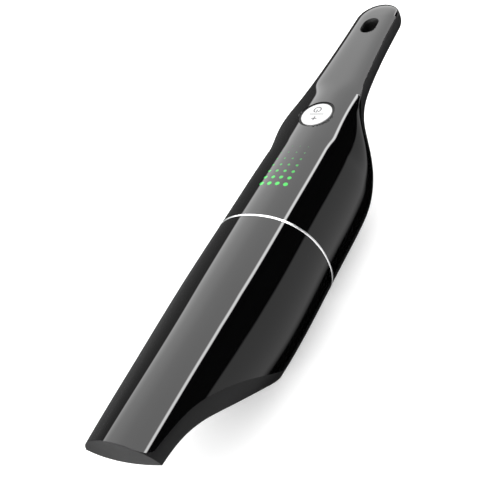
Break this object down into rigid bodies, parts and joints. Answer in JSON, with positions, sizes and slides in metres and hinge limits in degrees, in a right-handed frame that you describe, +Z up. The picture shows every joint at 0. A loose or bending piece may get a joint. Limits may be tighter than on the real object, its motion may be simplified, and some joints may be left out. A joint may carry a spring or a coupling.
{
  "type": "handheld vacuum",
  "caption": "Slim cordless handheld vacuum with a wide slanted nozzle, pull-off dust container and filter, motor and battery body, push button and flat handle with a hanging hole.",
  "frame": {"origin": "centre of the bounding box's bottom face, on the surface that the vacuum rests on", "axes": "+X from the nozzle tip to the end of the handle, +Y across, +Z up, out of the side with the button"},
  "size_m": [0.41, 0.083, 0.0818],
  "materials": {
    "gloss_black": "piano black gloss",
    "matt_black": "fine spark texture, satin",
    "rim_black": "satin moulded",
    "inner_black": "moulded, unpolished",
    "steel": "zinc plated",
    "rubber_foot": "matt rubber",
    "flap_rubber": "soft rubber",
    "filter_grey": "moulded grey plastic",
    "filter_paper": "pleated filter paper",
    "chrome_ring": "polished",
    "button_white": "satin gloss white",
    "icon_grey": "printed grey",
    "light_green": "lit light points",
    "board_green": "solder mask",
    "chip_black": "moulded parts",
    "cell_wrap": "shrink wrap",
    "nickel": "nickel strip",
    "motor_steel": "drawn steel",
    "magnet": "ferrite",
    "rotor_copper": "enamelled windings on steel",
    "impeller_alloy": "cast",
    "foam": "open cell foam",
    "contact_gold": "plated",
    "wire": "wire insulation"
  },
  "bodies": {
    "main_housing": {"upper_housing": "gloss_black", "lower_housing": "matt_black", "rear_feet": "rubber_foot", "trim_ring": "chrome_ring", "bulkhead": "inner_black", "bulkhead_screws": "steel", "handle_screws": "steel", "container_seal": "flap_rubber", "hole_lining": "gloss_black", "button_bezel": "inner_black", "tact_switch": "inner_black", "light_guide": "light_green", "control_board": "board_green", "board_parts": "chip_black", "battery_cells": "cell_wrap", "battery_tray": "inner_black", "cell_straps": "nickel", "motor_can": "motor_steel", "motor_front_cap": "motor_steel", "motor_bearings": "steel", "motor_magnets": "magnet", "fan_shroud": "inner_black", "shroud_gasket": "flap_rubber", "diffuser": "filter_grey", "motor_spacer": "inner_black", "front_motor_mount": "flap_rubber", "rear_motor_mount": "flap_rubber", "exhaust_grille": "matt_black", "exhaust_filter": "foam", "charge_contacts": "contact_gold", "charge_board": "board_green", "handle_wires": "wire", "release_spring": "steel"},
    "dust_container": {"front_shell": "gloss_black", "nozzle_rim": "rim_black", "sole_plate": "rim_black", "intake_duct": "inner_black", "flap_pin": "steel", "front_feet": "rubber_foot"},
    "flap": {"intake_flap": "flap_rubber"},
    "filter_unit": {"filter_frame": "filter_grey", "pleated_filter": "filter_paper", "filter_cap": "filter_grey", "prefilter_cage": "filter_grey", "filter_seal": "flap_rubber"},
    "power_button": {"button_cap": "button_white", "button_icons": "icon_grey"},
    "release_latch": {"release_button": "matt_black"},
    "fan_rotor": {"motor_shaft": "steel", "rotor_core": "rotor_copper", "impeller": "impeller_alloy", "impeller_nut": "steel"}
  },
  "joints": [
    {"name": "container_slide", "type": "slide", "parent": "main_housing", "child": "dust_container", "axis": [-1, 0, 0], "range_m": [0, 0.06]},
    {"name": "flap_hinge", "type": "hinge", "parent": "dust_container", "child": "flap", "pos_m": [-0.119, 0, 0.0665], "axis": [0, -1, 0], "range_deg": [0, 60], "stiffness_Nm_per_rad": 0.002},
    {"name": "filter_slide", "type": "slide", "parent": "main_housing", "child": "filter_unit", "axis": [-1, 0, 0], "range_m": [0, 0.022]},
    {"name": "power_press", "type": "slide", "parent": "main_housing", "child": "power_button", "axis": [0, 0, -1], "range_m": [0, 0.001], "stiffness_N_per_m": 1200},
    {"name": "release_press", "type": "slide", "parent": "main_housing", "child": "release_latch", "axis": [0, 0, 1], "range_m": [0, 0.002], "stiffness_N_per_m": 700, "deforming": ["release_spring"]},
    {"name": "fan_spin", "type": "hinge", "parent": "main_housing", "child": "fan_rotor", "pos_m": [0.017, 0, 0.0295], "axis": [1, 0, 0], "continuous": true}
  ]
}
